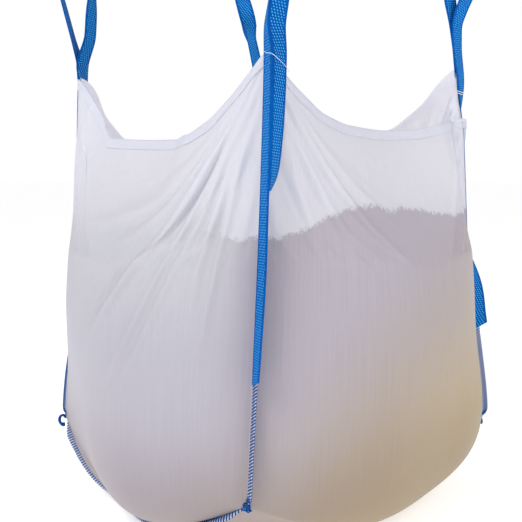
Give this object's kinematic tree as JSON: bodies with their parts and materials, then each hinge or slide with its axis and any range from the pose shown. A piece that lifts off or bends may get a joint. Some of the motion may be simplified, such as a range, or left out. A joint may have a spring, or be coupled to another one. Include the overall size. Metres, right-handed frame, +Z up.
{
  "type": "bulk bag",
  "caption": "Open-topped woven bulk bag, filled with sand and bulging, with corner lifting loops of webbing whose legs are sewn down the corner seams.",
  "frame": {"origin": "middle of the floor's flat underside, where the bag rests", "axes": "+Z up, +X towards the right wall and -X towards the left wall, which are one cloth with the floor, -Y towards the front sewn panel; the loops are at the four diagonal corners"},
  "size_m": [1.1454, 1.1454, 1.4651],
  "materials": {
    "cloth": "white woven polypropylene, slightly translucent and satin",
    "webbing": "mid-blue woven polypropylene webbing with light-blue dots",
    "blue_thread": "multifilament sewing thread",
    "white_thread": "multifilament sewing thread",
    "sand": "loose, slightly damp, granular"
  },
  "bodies": {
    "bag": {"u_panel": "cloth", "front_panel": "cloth", "rear_panel": "cloth", "sand_fill": "sand", "long_leg_front_right": "webbing", "long_leg_rear_right": "webbing", "long_leg_rear_left": "webbing", "long_leg_front_left": "webbing", "short_leg_front_right": "webbing", "short_leg_rear_right": "webbing", "short_leg_rear_left": "webbing", "short_leg_front_left": "webbing", "corner_overlock_front_right": "blue_thread", "corner_overlock_rear_right": "blue_thread", "corner_overlock_rear_left": "blue_thread", "corner_overlock_front_left": "blue_thread", "bottom_overlock_front": "blue_thread", "bottom_overlock_rear": "blue_thread", "hem_thread_front": "white_thread", "hem_thread_right": "white_thread", "hem_thread_rear": "white_thread", "hem_thread_left": "white_thread", "leg_stitching_front_right": "white_thread", "leg_stitching_rear_right": "white_thread", "leg_stitching_rear_left": "white_thread", "leg_stitching_front_left": "white_thread", "tie_cord_front_right": "white_thread", "tie_cord_rear_right": "white_thread", "thread_tail_front_left": "blue_thread", "thread_tail_rear_right": "blue_thread"},
    "neck_front_right": {"loop_neck_front_right": "webbing", "neck_stitching_front_right": "white_thread"},
    "eye_front_right": {"loop_eye_front_right": "webbing"},
    "neck_rear_right": {"loop_neck_rear_right": "webbing", "neck_stitching_rear_right": "white_thread"},
    "eye_rear_right": {"loop_eye_rear_right": "webbing"},
    "neck_rear_left": {"loop_neck_rear_left": "webbing", "neck_stitching_rear_left": "white_thread"},
    "eye_rear_left": {"loop_eye_rear_left": "webbing"},
    "neck_front_left": {"loop_neck_front_left": "webbing", "neck_stitching_front_left": "white_thread"},
    "eye_front_left": {"loop_eye_front_left": "webbing"}
  },
  "joints": [
    {"name": "front_right_neck_sway", "type": "hinge", "parent": "bag", "child": "neck_front_right", "pos_m": [0.3882, -0.3882, 1.135], "axis": [0.7071, -0.7071, 0], "range_deg": [-80, 80]},
    {"name": "front_right_eye_flop", "type": "hinge", "parent": "neck_front_right", "child": "eye_front_right", "pos_m": [0.3882, -0.3882, 1.22], "axis": [0.7071, 0.7071, 0], "range_deg": [-120, 130]},
    {"name": "rear_right_neck_sway", "type": "hinge", "parent": "bag", "child": "neck_rear_right", "pos_m": [0.3882, 0.3882, 1.135], "axis": [0.7071, 0.7071, 0], "range_deg": [-80, 80]},
    {"name": "rear_right_eye_flop", "type": "hinge", "parent": "neck_rear_right", "child": "eye_rear_right", "pos_m": [0.3882, 0.3882, 1.22], "axis": [-0.7071, 0.7071, 0], "range_deg": [-85, 130]},
    {"name": "rear_left_neck_sway", "type": "hinge", "parent": "bag", "child": "neck_rear_left", "pos_m": [-0.3882, 0.3882, 1.135], "axis": [-0.7071, 0.7071, 0], "range_deg": [-64, 96]},
    {"name": "rear_left_eye_flop", "type": "hinge", "parent": "neck_rear_left", "child": "eye_rear_left", "pos_m": [-0.40477, 0.37163, 1.21671], "axis": [-0.6797, -0.6797, -0.2756], "range_deg": [-120, 130]},
    {"name": "front_left_neck_sway", "type": "hinge", "parent": "bag", "child": "neck_front_left", "pos_m": [-0.3882, -0.3882, 1.135], "axis": [-0.7071, -0.7071, 0], "range_deg": [-80, 80]},
    {"name": "front_left_eye_flop", "type": "hinge", "parent": "neck_front_left", "child": "eye_front_left", "pos_m": [-0.3882, -0.3882, 1.22], "axis": [0.7071, -0.7071, 0], "range_deg": [-110, 130]}
  ]
}
